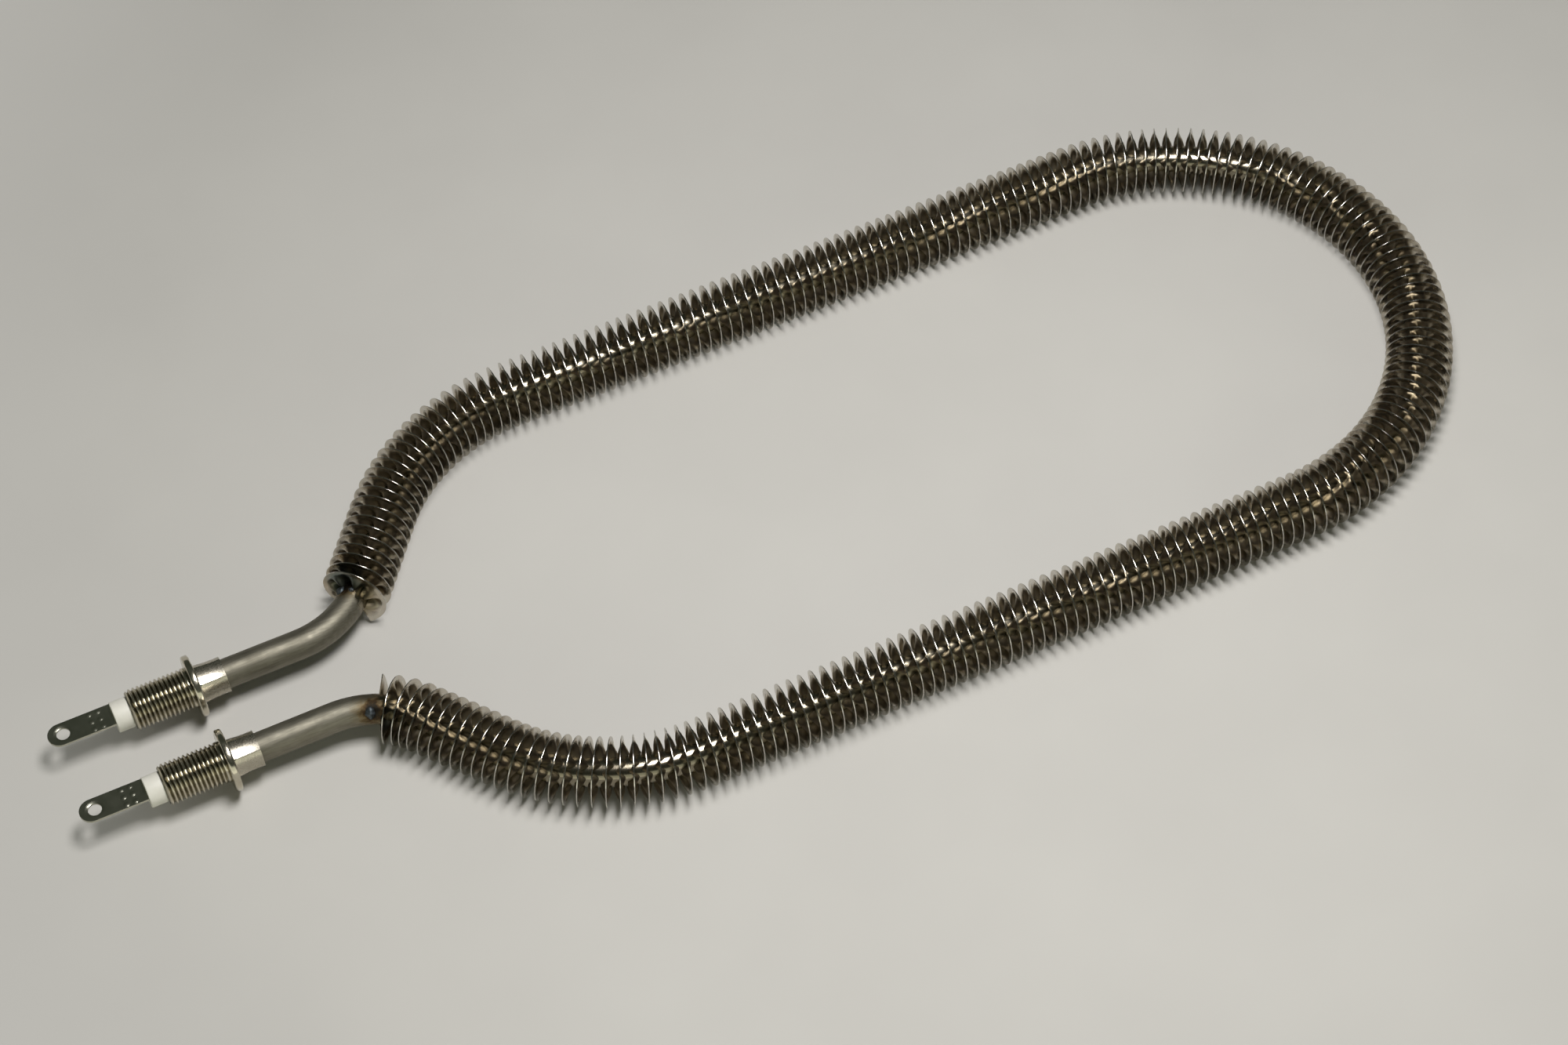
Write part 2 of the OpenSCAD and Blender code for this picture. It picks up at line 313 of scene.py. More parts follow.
def place_of(tree, stretch=(1, 1, 1)):
    """Object coordinates, drawn out by a stretch."""
    coords = tree.nodes.new("ShaderNodeTexCoord")
    mapping = tree.nodes.new("ShaderNodeMapping")
    mapping.inputs["Scale"].default_value = stretch
    tree.links.new(coords.outputs["Object"], mapping.inputs["Vector"])
    return mapping.outputs["Vector"]


def noise(tree, size_mm, detail=3, stretch=(1, 1, 1), rough=0.55):
    node = tree.nodes.new("ShaderNodeTexNoise")
    node.inputs["Scale"].default_value = 1 / (size_mm * MM)
    node.inputs["Detail"].default_value = detail
    node.inputs["Roughness"].default_value = rough
    tree.links.new(place_of(tree, stretch), node.inputs["Vector"])
    return node.outputs["Fac"]


def ramp(tree, value, *stops):
    """Colours, or grey levels, along a value."""
    node = tree.nodes.new("ShaderNodeValToRGB")
    steps = node.color_ramp.elements
    while len(steps) < len(stops):
        steps.new(0.5)
    for step, (where, colour) in zip(steps, stops):
        if isinstance(colour, (int, float)):
            colour = (colour,) * 3
        step.position = where
        step.color = (*colour, 1)
    tree.links.new(value, node.inputs["Fac"])
    return node.outputs["Color"]


def mixed(tree, how_much, one, other, blend="MIX"):
    node = tree.nodes.new("ShaderNodeMix")
    node.data_type = "RGBA"
    node.blend_type = blend
    for source, socket in ((how_much, node.inputs[0]), (one, node.inputs[6]), (other, node.inputs[7])):
        if isinstance(source, (int, float)):
            socket.default_value = source
        elif isinstance(source, tuple):
            socket.default_value = (*source, 1)
        else:
            tree.links.new(source, socket)
    return node.outputs[2]


def spread(tree, value, low, high):
    """A value of 0.3 to 0.7, spread over another range."""
    node = tree.nodes.new("ShaderNodeMapRange")
    node.inputs["From Min"].default_value = 0.3
    node.inputs["From Max"].default_value = 0.7
    node.inputs["To Min"].default_value = low
    node.inputs["To Max"].default_value = high
    tree.links.new(value, node.inputs["Value"])
    return node.outputs["Result"]


def bumps(tree, shader, height, depth_mm, strength=1.0):
    node = tree.nodes.new("ShaderNodeBump")
    node.inputs["Strength"].default_value = strength
    node.inputs["Distance"].default_value = depth_mm * MM
    tree.links.new(height, node.inputs["Height"])
    tree.links.new(node.outputs["Normal"], shader.inputs["Normal"])


def total(tree, one, other):
    node = tree.nodes.new("ShaderNodeMath")
    tree.links.new(one, node.inputs[0])
    tree.links.new(other, node.inputs[1])
    return node.outputs["Value"]


def away(tree, spot, unit):
    """Distance from a spot, counted in a unit of so many millimetres."""
    coords = tree.nodes.new("ShaderNodeTexCoord")
    node = tree.nodes.new("ShaderNodeVectorMath")
    node.operation = "DISTANCE"
    node.inputs[1].default_value = spot
    tree.links.new(coords.outputs["Object"], node.inputs[0])
    scale = tree.nodes.new("ShaderNodeMath")
    scale.operation = "MULTIPLY"
    scale.inputs[1].default_value = 1 / (unit * MM)
    tree.links.new(node.outputs["Value"], scale.inputs[0])
    return scale.outputs["Value"]


def painted(tree, name):
    """A value that the mesh carries at its corners."""
    node = tree.nodes.new("ShaderNodeAttribute")
    node.attribute_name = name
    return node.outputs["Fac"]


def paint(obj, name, values):
    obj.data.attributes.new(name, "FLOAT", "POINT").data.foreach_set("value", values)


def rolled_strip(spots):
    finish, tree, shader = new_finish("bright_rolled_strip")
    shader.inputs["Metallic"].default_value = 1
    height = painted(tree, "height")
    # Painted shade and light: the strip is darker towards its foot, deep between the turns, and a little lighter
    # near its rim.
    foot_shade = ramp(tree, height, (0.0, (0.63, 0.59, 0.47)), (0.45, (0.78, 0.73, 0.63)), (0.72, (1.05, 1.04, 1.0)))
    tone = ramp(tree, noise(tree, 9), (0.3, (0.47, 0.435, 0.385)), (0.7, (0.56, 0.53, 0.475)))
    tone = mixed(tree, 1.0, tone, foot_shade, "MULTIPLY")
    for spot, _, reach in spots:
        tint = ramp(tree, away(tree, spot, reach), (0.12, (0.10, 0.12, 0.14)), (0.32, (0.30, 0.36, 0.37)),
                    (0.5, (0.80, 0.74, 0.64)), (0.75, (1, 1, 1)))
        tone = mixed(tree, 1.0, tone, tint, "MULTIPLY")
    tree.links.new(tone, shader.inputs["Base Color"])
    bright = spread(tree, noise(tree, 2.5), 0.2, 0.28)
    satin = ramp(tree, height, (0.0, 0.46), (0.75, 0.3), (0.9, 0.0))
    tree.links.new(mixed(tree, 1.0, bright, satin, "LIGHTEN"), shader.inputs["Roughness"])
    bumps(tree, shader, noise(tree, 2.0, 2), 0.01, 0.3)
    return finish


def slit_edge():
    """The cut edge of the strip, which is duller than its faces."""
    finish, tree, shader = new_finish("slit_edge")
    shader.inputs["Metallic"].default_value = 1
    tone = ramp(tree, noise(tree, 1.5, 4), (0.3, (0.42, 0.40, 0.36)), (0.7, (0.56, 0.54, 0.50)))
    tree.links.new(tone, shader.inputs["Base Color"])
    tree.links.new(spread(tree, noise(tree, 0.6), 0.14, 0.22), shader.inputs["Roughness"])
    return finish


def drawn_tube(spots):
    finish, tree, shader = new_finish("satin_drawn_tube")
    shader.inputs["Metallic"].default_value = 1
    tone = ramp(tree, noise(tree, 14, 3), (0.3, (0.19, 0.178, 0.142)), (0.7, (0.245, 0.232, 0.19)))
    wound = painted(tree, "wound")
    streaks = ramp(tree, noise(tree, 0.6, 3, (0.1, 1, 1)), (0.35, (0.86, 0.85, 0.82)), (0.65, (1.12, 1.11, 1.08)))
    tone = mixed(tree, 1.0, tone, streaks, "MULTIPLY")
    tone = mixed(tree, wound, tone, (0.22, 0.195, 0.145))
    uneven = spread(tree, noise(tree, 1.8, 3), -0.07, 0.07)
    for spot, reach, _ in spots:
        tint = ramp(
            tree, total(tree, away(tree, spot, reach), uneven),
            (0.0, (0.10, 0.09, 0.085)), (0.12, (0.16, 0.14, 0.13)), (0.18, (0.36, 0.25, 0.16)),
            (0.25, (0.74, 0.6, 0.42)), (0.33, (0.9, 0.83, 0.72)), (0.5, (1, 1, 1)),
        )
        tone = mixed(tree, 1.0, tone, tint, "MULTIPLY")
    tree.links.new(tone, shader.inputs["Base Color"])
    satin = spread(tree, noise(tree, 3.0, 4), 0.51, 0.61)
    tree.links.new(mixed(tree, wound, satin, (0.19, 0.19, 0.19)), shader.inputs["Roughness"])
    bumps(tree, shader, noise(tree, 0.25, 2), 0.001, 0.5)
    return finish


def nickel_plate():
    finish, tree, shader = new_finish("bright_nickel_plate")
    shader.inputs["Metallic"].default_value = 1
    tone = ramp(tree, noise(tree, 5), (0.3, (0.56, 0.53, 0.46)), (0.7, (0.68, 0.66, 0.59)))
    # Painted shade: the thread is darker down in its roots than on its crests; the pressed flats get a plain tone
    # of their own.
    root_shade_and_flat_tone = ramp(tree, painted(tree, "crest"),
                 (0.0, (0.33, 0.31, 0.245)), (0.4, (0.66, 0.635, 0.54)), (0.7, (0.86, 0.83, 0.76)))
    pressed = painted(tree, "pressed")
    root_shade_and_flat_tone = mixed(tree, pressed, root_shade_and_flat_tone, (0.69, 0.665, 0.62))
    tree.links.new(mixed(tree, 1.0, tone, root_shade_and_flat_tone, "MULTIPLY"), shader.inputs["Base Color"])
    bright = spread(tree, noise(tree, 1.4, 4), 0.13, 0.24)
    dull = spread(tree, noise(tree, 0.5, 3, (1, 3, 3)), 0.2, 0.36)
    tree.links.new(mixed(tree, pressed, bright, dull), shader.inputs["Roughness"])
    smooth = spread(tree, noise(tree, 1.3, 3, (2, 1, 1)), 0, 0.08)
    worn = noise(tree, 2.2, 5, (0.5, 1.5, 1.5), 0.6)
    bumps(tree, shader, mixed(tree, pressed, smooth, worn), 0.04, 0.35)
    return finish


def blade_steel():
    finish, tree, shader = new_finish("plated_blade_steel")
    shader.inputs["Metallic"].default_value = 1
    tone = ramp(tree, noise(tree, 4, 3), (0.3, (0.46, 0.455, 0.37)), (0.7, (0.52, 0.51, 0.42)))
    tree.links.new(tone, shader.inputs["Base Color"])
    tree.links.new(spread(tree, noise(tree, 6, 3), 0.19, 0.25), shader.inputs["Roughness"])
    bumps(tree, shader, noise(tree, 2.5, 2), 0.002, 0.3)
    return finish


def weld_metal():
    finish, tree, shader = new_finish("oxidised_weld")
    shader.inputs["Metallic"].default_value = 1
    tone = ramp(tree, noise(tree, 1.1, 4), (0.3, (0.05, 0.05, 0.05)), (0.6, (0.12, 0.14, 0.15)),
                (0.75, (0.18, 0.175, 0.165)))
    tree.links.new(tone, shader.inputs["Base Color"])
    tree.links.new(spread(tree, noise(tree, 0.7), 0.52, 0.7), shader.inputs["Roughness"])
    bumps(tree, shader, noise(tree, 0.7, 3), 0.04, 0.4)
    return finish


def pressed_ceramic():
    finish, tree, shader = new_finish("white_ceramic")
    tone = ramp(tree, noise(tree, 3, 4), (0.3, (0.78, 0.76, 0.67)), (0.7, (0.84, 0.82, 0.73)))
    tree.links.new(tone, shader.inputs["Base Color"])
    shader.inputs["Specular IOR Level"].default_value = 0.4
    tree.links.new(spread(tree, noise(tree, 0.8, 3), 0.38, 0.55), shader.inputs["Roughness"])
    bumps(tree, shader, noise(tree, 0.25, 3), 0.01, 0.5)
    return finish


def plain_metal(name, low, high, roughness, grain_mm):
    finish, tree, shader = new_finish(name)
    shader.inputs["Metallic"].default_value = 1
    tree.links.new(ramp(tree, noise(tree, 3 * grain_mm, 4), (0.3, low), (0.7, high)),
                   shader.inputs["Base Color"])
    tree.links.new(spread(tree, noise(tree, grain_mm), roughness, roughness + 0.15),
                   shader.inputs["Roughness"])
    return finish


def plain_filling(name, low, high, grain_mm):
    finish, tree, shader = new_finish(name)
    tree.links.new(ramp(tree, noise(tree, 2 * grain_mm, 4), (0.3, low), (0.7, high)),
                   shader.inputs["Base Color"])
    shader.inputs["Roughness"].default_value = 0.9
    bumps(tree, shader, noise(tree, grain_mm, 3), 0.05)
    return finish


def seen(tree):
    """1 for rays that show a thing, straight or in metal, and 0 for those that light it."""
    paths = tree.nodes.new("ShaderNodeLightPath")
    total = paths.outputs["Is Camera Ray"]
    for kind in ("Is Glossy Ray", "Is Transmission Ray"):
        node = tree.nodes.new("ShaderNodeMath")
        node.operation = "MAXIMUM"
        tree.links.new(total, node.inputs[0])
        tree.links.new(paths.outputs[kind], node.inputs[1])
        total = node.outputs["Value"]
    return total


def backdrop():
    finish, tree, shader = new_finish("pale_backdrop")
    shader.inputs["Base Color"].default_value = (0, 0, 0, 1)
    shader.inputs["Specular IOR Level"].default_value = 0
    tree.links.new(mixed(tree, seen(tree), (0.0, 0.0, 0.0), BACKDROP), shader.inputs["Emission Color"])
    shader.inputs["Emission Strength"].default_value = 1
    return finish


def table_top():
    finish, tree, shader = new_finish("pale_table")
    tone = ramp(tree, noise(tree, 90, 3), (0.35, (0.600, 0.585, 0.545)), (0.65, (0.622, 0.607, 0.565)))
    shader.inputs["Roughness"].default_value = 0.75
    shader.inputs["Specular IOR Level"].default_value = 0.2
    far = ramp(tree, away(tree, (0.2, 0, 0), 1000), (0.4, 0.0), (0.58, 1.0))
    glow = mixed(tree, seen(tree), (0.0, 0.0, 0.0), BACKDROP)
    tree.links.new(mixed(tree, 1.0, glow, far, "MULTIPLY"), shader.inputs["Emission Color"])
    shader.inputs["Emission Strength"].default_value = 1
    tree.links.new(mixed(tree, far, tone, (0.0, 0.0, 0.0)), shader.inputs["Base Color"])
    return finish


# The wound strip

def strip_ends(turn):
    """How far the strip's free ends spring away from the winding, in millimetres."""
    flap_a = np.clip(1 - turn / 0.09, 0, 1) ** 2
    lean_b = np.clip(1 - (LAST_TURN - turn) / 0.25, 0, 1) ** 2
    return -1.0 * lean_b - 0.8 * flap_a


def strip_points(fold, height, face):
    """Points of the strip: folds from end a, height from foot to rim, and which face, -1 or 1."""
    share = fold / FOLDS
    turn = FIN_TURNS * share + DRIFT * np.sin(2 * pi * 3.3 * share) * np.sin(pi * share)
    fade = np.clip(1 - (height / FOLD_TOP) ** 1.7, 0, 1)
    depth = FOLD_DEPTH * (0.94 + 0.06 * np.sin(1.7 * fold) + 0.06 * np.sin(0.37 * fold + 1))
    depth = depth * np.clip((LAST_FOLD - fold) / 1.1, 0, 1) * np.clip(fold / 0.5, 0.3, 1)
    wave = np.sin(2 * pi * (fold + 0.05 * np.sin(1.3 * fold)))
    wobble = 0.1 * np.sin(5.3 * turn + 1) + 0.07 * np.sin(2 * pi * 2.03 * turn)
    thick = (FIN_FOOT_T + (FIN_RIM_T - FIN_FOOT_T) * height) / 2
    ahead = depth * wave * fade + (wobble + strip_ends(turn)) * height + face * thick
    r = FIN_FOOT_R + (FIN_R - FIN_FOOT_R) * height
    stretch = END_STRETCH * np.clip(1 - (LAST_TURN - turn) / 2, 0, 1) ** 2
    return off_line(FIN_START + turn * FIN_PITCH + stretch, r, FIN_PHASE - 2 * pi * turn, ahead)


def wound_strip(count=4, per_fold=12):
    """The strip in runs of equal length, each closed at its ends."""
    heights = [0, 0.14, 0.29, 0.44, 0.57, 0.69, 0.79, 0.992]
    section = [(h, -1) for h in heights] + [(1, 0)] + [(h, 1) for h in heights[::-1]]
    section.append(section[0])
    height, face = np.array(section, dtype=float).T
    face_finish, edge_finish = rolled_strip(SPOTS), slit_edge()
    for k in range(count):
        first = FOLDS // count * k
        run = min(FOLDS // count, LAST_FOLD - first)
        levels = []

        def place(along, across):
            which = np.rint(across * (len(section) - 1)).astype(int)
            fold = first + np.rint(along * run * per_fold) / per_fold
            levels.append(height[which])
            return strip_points(fold, height[which], face[which])

        obj = laid_grid(run * per_fold, len(section) - 1, place)
        paint(obj, "height", levels[0])
        sew()
        close_ends()
        dress(obj, f"fin_strip_{k + 1}", face_finish, "fin_steel", "spiral_fin", sharp=60)
        obj.data.materials.append(edge_finish)
        mark_rim(obj)


def mark_rim(obj):
    """Gives the strip's outer edge the slit edge's finish, by the height of its corners."""
    mesh = obj.data
    level = np.empty(len(mesh.vertices))
    mesh.attributes["height"].data.foreach_get("value", level)
    corner = np.empty(len(mesh.loops), dtype=np.int32)
    mesh.loops.foreach_get("vertex_index", corner)
    first, sides = (np.empty(len(mesh.polygons), dtype=np.int32) for _ in range(2))
    mesh.polygons.foreach_get("loop_start", first)
    mesh.polygons.foreach_get("loop_total", sides)
    mean = np.add.reduceat(level[corner], first) / sides
    mesh.polygons.foreach_set("material_index", (mean > 0.99).astype(np.int32))


# The sheath tube

def sheath(finish):
    start_clean()
    bpy.ops.mesh.primitive_circle_add(vertices=64, radius=SHEATH_R * MM, rotation=(0, pi / 2, 0),
                                      location=(-NOSE_LEN * MM, AXIS_Y * MM, 0))
    place_in_mesh()
    edit_all()
    bpy.ops.mesh.extrude_region_move(TRANSFORM_OT_translate={"value": (NOSE_LEN * MM, 0, 0)})
    for (length, turn), (_, x, y, heading) in zip(STRETCHES, STARTS):
        if turn:
            r = length / turn
            bpy.ops.mesh.spin(steps=round(abs(turn) / radians(2.2)), angle=-turn, axis=(0, 0, 1),
                              center=((x - r * sin(heading)) * MM, (y + r * cos(heading)) * MM, 0))
        else:
            bpy.ops.mesh.extrude_region_move(TRANSFORM_OT_translate={
                "value": (length * cos(heading) * MM, length * sin(heading) * MM, 0)})
    bpy.ops.mesh.extrude_region_move(TRANSFORM_OT_translate={"value": (-NOSE_LEN * MM, 0, 0)})
    bpy.ops.object.mode_set(mode="OBJECT")
    sew()
    obj = bpy.context.object
    wall = obj.modifiers.new("wall", "SOLIDIFY")
    wall.thickness = SHEATH_WALL * MM
    wall.offset = -1
    bpy.ops.object.modifier_apply(modifier=wall.name)
    points = points_of(obj) / MM
    paint(obj, "wound", (points[:, 0] > WOUND_FROM_X[(points[:, 1] < 0).astype(int)]).astype(float))
    dress(obj, "bent_sheath", finish, "sheath_steel", "sheath_tube")


# The weld beads

def weld_blob(at, angle, length, width):
    start_clean()
    spot = off_line(np.array([at]), SHEATH_R, angle)[0] * MM
    heading = centre_line(np.array([at]))[2][0]
    bpy.ops.mesh.primitive_uv_sphere_add(segments=32, ring_count=16, radius=1)
    obj = bpy.context.object
    points = points_of(obj)
    swell = 1 + 0.08 * np.sin(5 * points[:, 0] + 2) + 0.06 * np.sin(7 * points[:, 1])
    points = points * swell[:, None] * np.array([length / 2, width / 2, 0.32 * min(length, width)]) * MM
    bow = width / 2 * MM
    points[:, 2] -= (points[:, 1] / bow) ** 2 * bow ** 2 / (2 * SHEATH_R * MM)
    turn = Matrix.Rotation(heading, 3, "Z") @ Matrix.Rotation(angle - pi / 2, 3, "X")
    set_points(obj, points @ np.array(turn).T + spot)
    return obj


def weld_beads():
    finish = weld_metal()
    obj = weld_blob(BEAD_A - 1.0, radians(44), 3.6, 2.6)
    combine(obj, weld_blob(BEAD_A - 0.6, radians(30), 3.0, 3.2), "UNION")
    combine(obj, weld_blob(BEAD_A - 0.4, radians(92), 1.9, 1.9), "UNION")
    dress(obj, "strip_weld_a", finish, "weld_metal", "fin_weld_a")
    obj = weld_blob(BEAD_B, radians(42), 3.3, 4.2)
    dress(obj, "strip_weld_b", finish, "weld_metal", "fin_weld_b")


# The bushing

def runout(x):
    """How deep the thread is cut, as a share, as it runs out towards the flange."""
    return np.clip((-0.5 - x) / 1.8, 0.2, 1)


def thread_cut():
    """The threaded nose, as a helical grid trimmed at both ends."""
    rows = 12
    turns = round(NOSE_LEN / THREAD_PITCH) + 3

    def place(along, across):
        angle = 2 * pi * across
        place_in_pitch = turns * along
        x = -NOSE_LEN - THREAD_PITCH + THREAD_PITCH * (place_in_pitch + across)
        crest = (0.5 + 0.5 * np.cos(2 * pi * place_in_pitch)) ** 0.65
        fade = runout(x)
        r = NOSE_R - THREAD_DEPTH * fade * (1 - crest)
        r = np.minimum(r, NOSE_R - NOSE_CHAMFER + np.clip(x + NOSE_LEN, 0, NOSE_CHAMFER))
        return np.stack([x, AXIS_Y + r * np.cos(angle), r * np.sin(angle)], axis=1)

    obj = laid_grid(turns * rows, 72, place)
    sew()
    for x, outwards in ((-NOSE_LEN, -1), (1.0, 1)):
        edit_all()
        bpy.ops.mesh.bisect(plane_co=(x * MM, 0, 0), plane_no=(outwards, 0, 0), use_fill=True,
                            clear_outer=True)
        bpy.ops.object.mode_set(mode="OBJECT")
    sew()
    return obj


def flange_and_sleeve():
    """The flange and the crimped sleeve, turned, then pressed in at six flats."""
    sleeve_end = FLANGE_T + SLEEVE_LEN
    rim = FLANGE_R - FLANGE_ROUND
    profile = [(0, 4)] + rounded(FLANGE_ROUND, rim, FLANGE_ROUND, pi, pi / 2)
    profile += rounded(FLANGE_T - FLANGE_ROUND, rim, FLANGE_ROUND, pi / 2, 0)
    steps = 16
    profile += [(FLANGE_T + 0.15 + (SLEEVE_LEN - 0.15) * k / steps, SLEEVE_R) for k in range(steps + 1)]
    profile += [(sleeve_end, 4)]
    obj = turned(profile)
    points = points_of(obj) / MM
    x, y, z = points[:, 0], points[:, 1] - AXIS_Y, points[:, 2]
    on_sleeve = (x > FLANGE_T + 0.1) & (np.hypot(y, z) > SLEEVE_R - 0.1)
    out = np.clip((x - FLANGE_T) / (0.75 * SLEEVE_LEN), 0, None)
    flat = FLAT_AT_FLANGE + (FLAT_DEEPEST - FLAT_AT_FLANGE) * (1 - np.abs(1 - out) ** 1.8)
    half = np.minimum(np.arccos((flat / SLEEVE_R) ** (1 / FLAT_BULGE)), radians(28))
    angle = np.arctan2(y, z) - FLAT_TURN
    sector = np.rint(angle / (pi / 3))
    share = (angle - sector * pi / 3) / (pi / 6)
    edge = 2 / 3
    bent = np.where(np.abs(share) <= edge, share / edge * half,
                    np.sign(share) * (half + (np.abs(share) - edge) / (1 - edge) * (pi / 6 - half)))
    r = np.minimum(SLEEVE_R, flat / np.cos(np.minimum(np.abs(bent), pi / 6)) ** FLAT_BULGE)
    turn = bent + sector * pi / 3 + FLAT_TURN
    y = np.where(on_sleeve, r * np.sin(turn), y)
    z = np.where(on_sleeve, r * np.cos(turn), z)
    set_points(obj, np.stack([x, y + AXIS_Y, z], axis=1) * MM)
    return obj


def bushings():
    finish = nickel_plate()
    obj = flange_and_sleeve()
    combine(obj, thread_cut(), "UNION")
    start_clean()
    bpy.ops.mesh.primitive_cylinder_add(vertices=64, radius=BORE_R * MM, depth=80 * MM,
                                        location=(0, AXIS_Y * MM, 0), rotation=(0, pi / 2, 0))
    cutter = bpy.context.object
    place_in_mesh()
    combine(obj, cutter, "DIFFERENCE")
    x, y, z = points_of(obj).T / MM
    sunk = (NOSE_R - np.hypot(y - AXIS_Y, z)) / (THREAD_DEPTH * runout(x))
    flat = np.clip((SLEEVE_R - 0.05 - np.hypot(y - AXIS_Y, z)) / 0.2, 0, 1)
    paint(obj, "pressed", np.where(x > FLANGE_T + 0.1, flat, 0))
    # The crest share sets the painted shade in the thread's roots.
    paint(obj, "crest", np.where(x < 0.05, np.clip(1 - sunk, 0, 1), 1))
    dress(obj, "threaded_bushing_a", finish, "nickel_plate", "bushing_a", sharp=50)
    obj["finish_slot"] = "nickel_plate"
    copied_to_b(obj, "threaded_bushing_b", "bushing_b")


# The ceramic collar

def collars():
    edge = COLLAR_R - COLLAR_ROUND
    hole = PIN_R + 0.1
    profile = [(COLLAR_X, hole)]
    profile += rounded(COLLAR_X + COLLAR_ROUND, edge, COLLAR_ROUND, pi, pi / 2)
    profile += rounded(-NOSE_LEN - COLLAR_ROUND, edge, COLLAR_ROUND, pi / 2, 0)
    profile += [(-NOSE_LEN, 4.3), (-NOSE_LEN + 6, 4.3), (-NOSE_LEN + 6, hole)]
    obj = dress(turned(profile, 64), "ceramic_collar_a", pressed_ceramic(), "white_ceramic", "insulator_a")
    obj["finish_slot"] = "white_ceramic"
    copied_to_b(obj, "ceramic_collar_b", "insulator_b")


# The terminal blade

def blades():
    tip_r = BLADE_W / 2

    def place(along, across):
        x = TIP_X + BLADE_LEN * along
        width = np.where(x < TIP_X + tip_r, np.sqrt(np.maximum(tip_r ** 2 - (TIP_X + tip_r - x) ** 2, 0.2)), tip_r)
        y = (across * 2 - 1) * width
        z = np.full_like(x, BLADE_Z)
        for row in (0, 1):
            for place_y in (-1, 0, 1):
                away = np.hypot(x - (TIP_X + DIMPLE_IN + row * DIMPLE_GAP), y - place_y * DIMPLE_GAP)
                z += DIMPLE_H * np.clip(1 - (away / DIMPLE_R) ** 2, 0, 1) ** 2
        return np.stack([x, y + AXIS_Y, z], axis=1)

    obj = laid_grid(110, 42, place)
    wall = obj.modifiers.new("wall", "SOLIDIFY")
    wall.thickness = BLADE_T * MM
    wall.offset = 1
    bpy.ops.object.modifier_apply(modifier=wall.name)
    sew()
    start_clean()
    hole_x = TIP_X + HOLE_IN
    bpy.ops.mesh.primitive_cylinder_add(vertices=64, radius=HOLE_R * MM, depth=6 * MM,
                                        location=(hole_x * MM, AXIS_Y * MM, BLADE_Z * MM))
    cutter = bpy.context.object
    place_in_mesh()
    combine(obj, cutter, "DIFFERENCE")
    start_clean()
    rise = 1.0
    grow = (SINK_R - HOLE_R) / SINK_T
    bpy.ops.mesh.primitive_cone_add(
        vertices=64, radius1=(HOLE_R - 0.01) * MM, radius2=(SINK_R + grow * rise) * MM,
        depth=(SINK_T + rise) * MM,
        location=(hole_x * MM, AXIS_Y * MM, (BLADE_Z + BLADE_T - SINK_T + (SINK_T + rise) / 2) * MM))
    cutter = bpy.context.object
    place_in_mesh()
    combine(obj, cutter, "DIFFERENCE")
    start_clean()
    bpy.context.view_layer.objects.active = obj
    obj.select_set(True)
    soften = obj.modifiers.new("soften", "BEVEL")
    soften.width = 0.12 * MM
    soften.segments = 2
    soften.limit_method = "ANGLE"
    soften.angle_limit = radians(50)
    bpy.ops.object.modifier_apply(modifier=soften.name)
    dress(obj, "blade_a", blade_steel(), "blade_steel", "terminal_blade_a")
    obj["finish_slot"] = "blade_steel"
    copied_to_b(obj, "blade_b", "terminal_blade_b")


# The pieces

FIN_END = FIN_START + FIN_TURNS * FIN_PITCH
WOUND_FROM_X = centre_line(np.array([FIN_START, FIN_END]))[0]
BEAD_A = FIN_START + 0.2
BEAD_B = FIN_END + 3.3
SPOTS = [
    (off_line(np.array([BEAD_A]), SHEATH_R, radians(62))[0] * MM, 11, 18),
    (off_line(np.array([BEAD_B - 1]), SHEATH_R, radians(46))[0] * MM, 17, 19),
]
sheath(drawn_tube(SPOTS))
wound_strip()
weld_beads()
bushings()
collars()
blades()

# The pieces that stay as the frame has them
FILLINGS = {
    "cold_pin_a": plain_metal("drawn_pin", (0.42, 0.40, 0.37), (0.56, 0.54, 0.5), 0.22, 1.2),
    "resistance_coil": plain_metal("heating_wire", (0.3, 0.27, 0.24), (0.42, 0.38, 0.33), 0.35, 0.8),
    "magnesia_fill": plain_filling("packed_magnesia", (0.74, 0.72, 0.68), (0.84, 0.83, 0.8), 0.5),
    "end_seal_a": plain_filling("seal_resin", (0.35, 0.1, 0.06), (0.5, 0.17, 0.1), 1.0),
}
FILLINGS["cold_pin_b"] = FILLINGS["cold_pin_a"]
FILLINGS["end_seal_b"] = FILLINGS["end_seal_a"]
for node, finish in FILLINGS.items():
    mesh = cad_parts[node].data
    mesh.materials.clear()
    mesh.materials.append(finish)


# Table, light and camera

start_clean()
bpy.ops.mesh.primitive_plane_add(size=8, location=(0.2, 0, FLOOR_Z))
table = bpy.context.object
table.name = "table"
table.data.materials.append(table_top())
bpy.ops.mesh.primitive_cylinder_add(vertices=96, radius=3.9, depth=1.4, end_fill_type="NOTHING",
                                    location=(0.2, 0, 0))
wall = bpy.context.object
wall.name = "wall"
wall.data.materials.append(backdrop())

world = bpy.data.worlds.new("room")
bpy.context.scene.world = world
world.use_nodes = True
sky = world.node_tree.nodes["Background"]
sky.inputs["Color"].default_value = (0.056, 0.063, 0.051, 1)
sky.inputs["Strength"].default_value = 1.0

AZIMUTH = 0.380071
ELEVATION = 0.930860
ROLL = -0.0710114
DISTANCE = 1.24143
TARGET = Vector((0.20352, -0.00263, -0.0116))


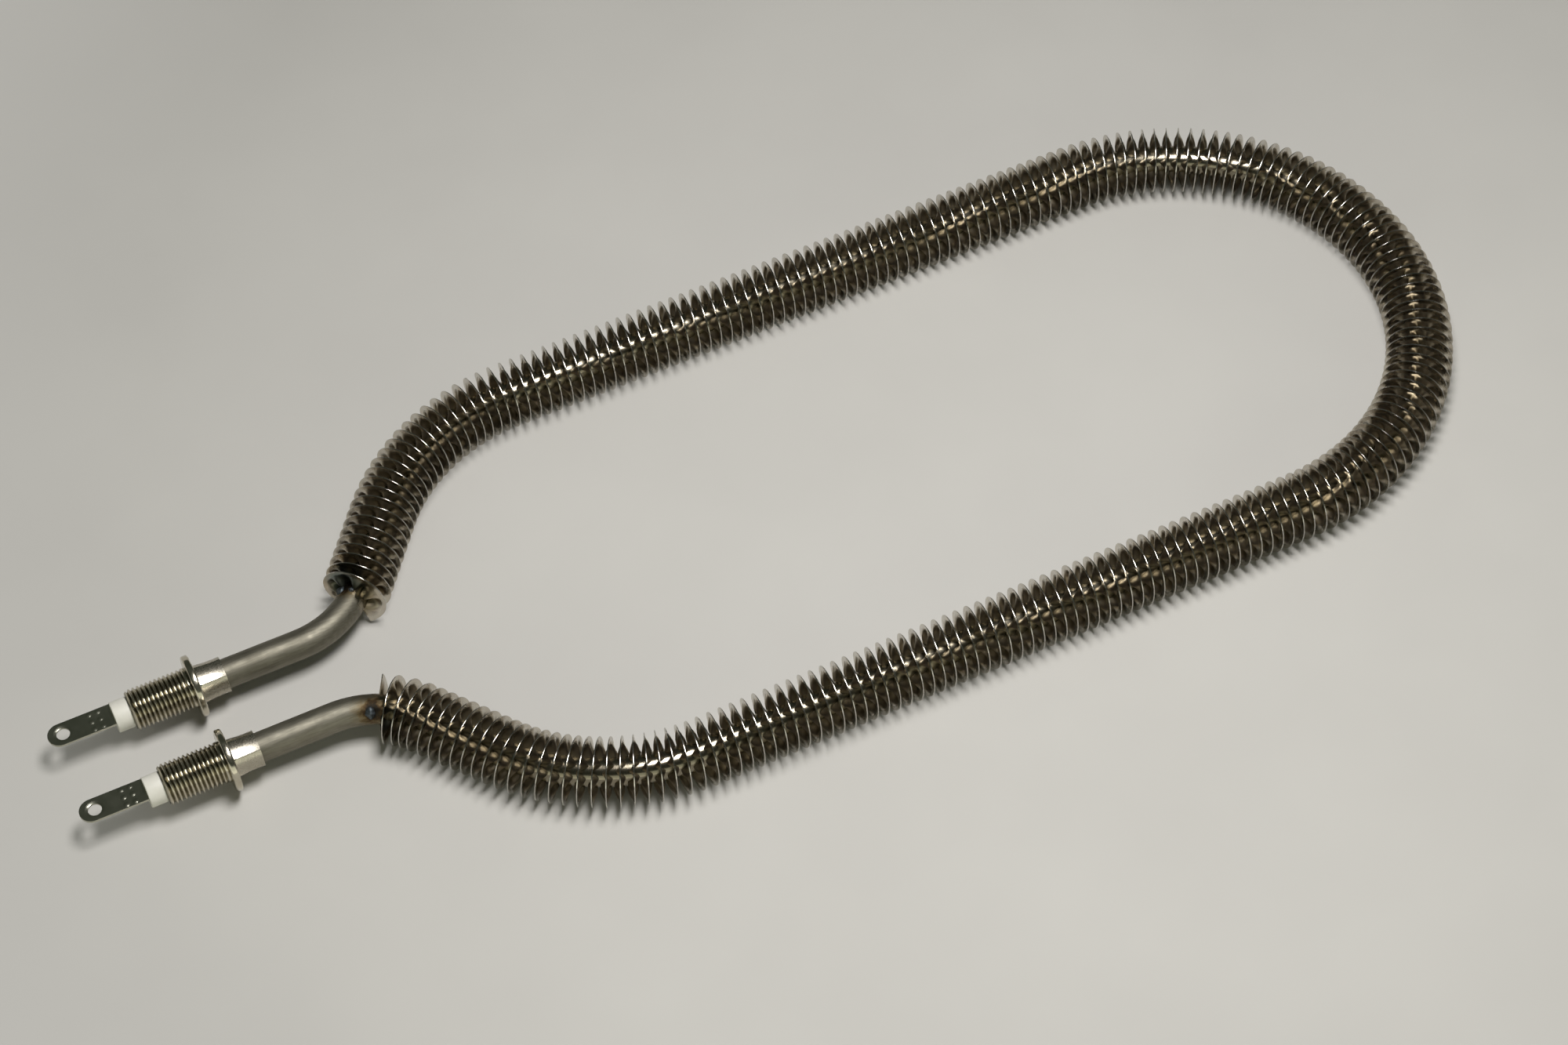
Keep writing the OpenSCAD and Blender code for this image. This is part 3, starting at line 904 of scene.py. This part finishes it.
BACK = Vector((sin(AZIMUTH), cos(AZIMUTH), 0))
RIGHT = Vector((cos(AZIMUTH), -sin(AZIMUTH), 0))
UP = Vector((0, 0, 1))


def flat_lamp(name, wide, deep, power, colour):
    lamp = bpy.data.lights.new(name, "AREA")
    lamp.shape = "RECTANGLE"
    lamp.size = wide
    lamp.size_y = deep
    lamp.energy = power
    lamp.color = colour
    holder = bpy.data.objects.new(name, lamp)
    holder.visible_camera = False
    bpy.context.scene.collection.objects.link(holder)
    return holder


def ceiling_lamp(name, behind, right, up, wide, deep, power, colour=(1, 1, 1)):
    """A lamp over the table that faces straight down, placed as the camera sees it."""
    holder = flat_lamp(name, wide, deep, power, colour)
    spot = TARGET + BACK * behind + RIGHT * right + UP * up
    holder.matrix_world = Matrix.Translation(spot) @ Matrix((RIGHT, BACK, UP)).transposed().to_4x4()


def front_light(name, before, up, wide, tall, power, colour):
    """A large dim light that faces the object from the camera's side."""
    holder = flat_lamp(name, wide, tall, power, colour)
    spot = TARGET - BACK * before + UP * up
    turn = (TARGET - spot).to_track_quat("-Z", "Y").to_matrix().to_4x4()
    holder.matrix_world = Matrix.Translation(spot) @ turn


ceiling_lamp("tube_lamp", -0.09, 0.075, 0.82, 0.22, 0.33, 6.25, (1.0, 0.985, 0.99))
front_light("room_light", 1.4, 0.36, 3.0, 0.7, 5.6, (0.98, 1.0, 0.84))

sight = Vector((cos(ELEVATION) * sin(AZIMUTH), cos(ELEVATION) * cos(AZIMUTH), -sin(ELEVATION)))
level = Vector((cos(AZIMUTH), -sin(AZIMUTH), 0))
upright = level.cross(sight)
right = cos(ROLL) * level + sin(ROLL) * upright
upward = cos(ROLL) * upright - sin(ROLL) * level
lens = bpy.data.cameras.new("camera")
lens.sensor_width = 36
lens.lens = 84.6
camera = bpy.data.objects.new("camera", lens)
bpy.context.scene.collection.objects.link(camera)
camera.matrix_world = Matrix.Translation(TARGET - sight * DISTANCE) @ Matrix(
    (right, upward, -sight)).transposed().to_4x4()
bpy.context.scene.camera = camera
bpy.context.scene.view_settings.view_transform = "Standard"
